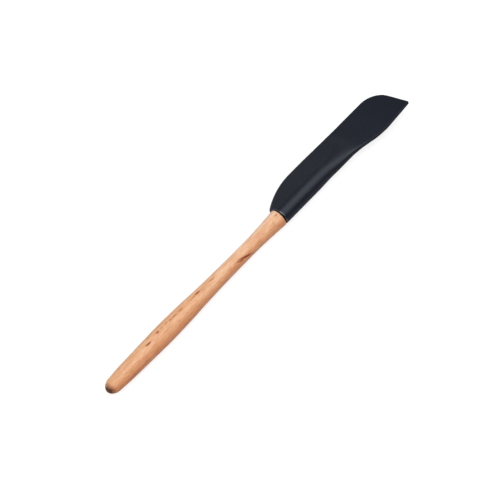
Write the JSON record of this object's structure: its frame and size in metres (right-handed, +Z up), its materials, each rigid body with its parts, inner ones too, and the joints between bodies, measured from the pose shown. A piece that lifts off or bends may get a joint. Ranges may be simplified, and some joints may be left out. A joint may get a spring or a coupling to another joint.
{
  "type": "offset spatula",
  "caption": "Slim silicone baking spatula: one-sided wedge blade thinning to a flat slanted tip, on a turned beech handle with a tenon that plugs into the blade's core.",
  "frame": {"origin": "middle of the bounding box's bottom, on the table the spatula lies on", "axes": "+X along the handle's axis from butt to tip, +Y towards the blade's wide thin edge, +Z up from the table"},
  "size_m": [0.3202, 0.032, 0.0153],
  "materials": {
    "beech": "fine sanded and oiled beech, straight grain along the handle with ray flecks and a few dark mineral streaks, satin",
    "silicone": "moulded black silicone, satin matte with a soft sheen along the spine",
    "nylon": "moulded dark grey nylon, hidden inside the head"
  },
  "bodies": {
    "handle": {"wood_handle": "beech"},
    "head": {"silicone_head": "silicone", "nylon_core": "nylon"}
  },
  "joints": [
    {"name": "head_pull_off", "type": "slide", "parent": "handle", "child": "head", "axis": [1, 0, 0], "range_m": [0, 0.05]}
  ]
}
